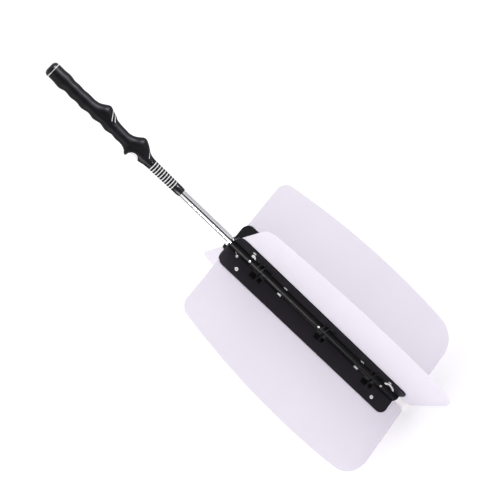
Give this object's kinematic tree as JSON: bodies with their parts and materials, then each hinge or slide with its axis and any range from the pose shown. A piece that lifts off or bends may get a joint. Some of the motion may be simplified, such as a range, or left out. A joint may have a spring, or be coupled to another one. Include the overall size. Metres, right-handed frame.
{
  "type": "golf swing training fan",
  "caption": "Golf swing trainer: a moulded training grip and steel shaft carrying hinged translucent blades that stand out as an X for air resistance and fold flat.",
  "frame": {"origin": "centre of the bounding box's bottom face, on the shaft's axis, at the blades' straight lower ends", "axes": "+Z along the shaft from the blades to the grip's cap; -X and +X along the fixed blades, -Y and +Y along the swinging blades when open"},
  "size_m": [0.321, 0.321, 0.7918],
  "materials": {
    "blade_sheet": "translucent frosted sheet, faint lavender white",
    "grip_rubber": "smooth semi-gloss moulded black rubber",
    "sleeve_rubber": "ribbed black rubber",
    "black_plastic": "smooth black",
    "bracket_plastic": "fine-textured black moulding",
    "white_trim": "smooth white",
    "pale_pad": "smooth pale grey",
    "chrome_tube": "polished plated steel",
    "bright_steel": "bright plated steel"
  },
  "bodies": {
    "body": {"shaft_tube": "chrome_tube", "shaft_end_plug": "black_plastic", "cross_pin": "bright_steel", "grip_body": "grip_rubber", "grip_cap": "black_plastic", "cap_band": "white_trim", "finger_rest_pad": "pale_pad", "neck_sleeve": "sleeve_rubber", "neck_collar": "black_plastic", "fixed_bracket": "bracket_plastic", "spring_clip_1": "bright_steel", "spring_clip_2": "bright_steel", "set_screw_1": "bright_steel", "set_screw_2": "bright_steel", "blade_a": "blade_sheet", "backing_strip_a": "bracket_plastic", "rivet_a1": "bright_steel", "rivet_a2": "bright_steel", "hub_screw_a1": "bright_steel", "blade_c": "blade_sheet", "backing_strip_c": "bracket_plastic", "rivet_c1": "bright_steel", "rivet_c2": "bright_steel", "hub_screw_c1": "bright_steel"},
    "swinging_blades": {"swing_bracket": "bracket_plastic", "brake_screw": "bright_steel", "blade_b": "blade_sheet", "backing_strip_b": "bracket_plastic", "rivet_b1": "bright_steel", "rivet_b2": "bright_steel", "blade_d": "blade_sheet", "backing_strip_d": "bracket_plastic", "rivet_d1": "bright_steel", "rivet_d2": "bright_steel"}
  },
  "joints": [
    {"name": "blade_fold", "type": "hinge", "parent": "body", "child": "swinging_blades", "pos_m": [0, 0, 0.215], "axis": [0, 0, 1], "range_deg": [-90, 0]}
  ]
}
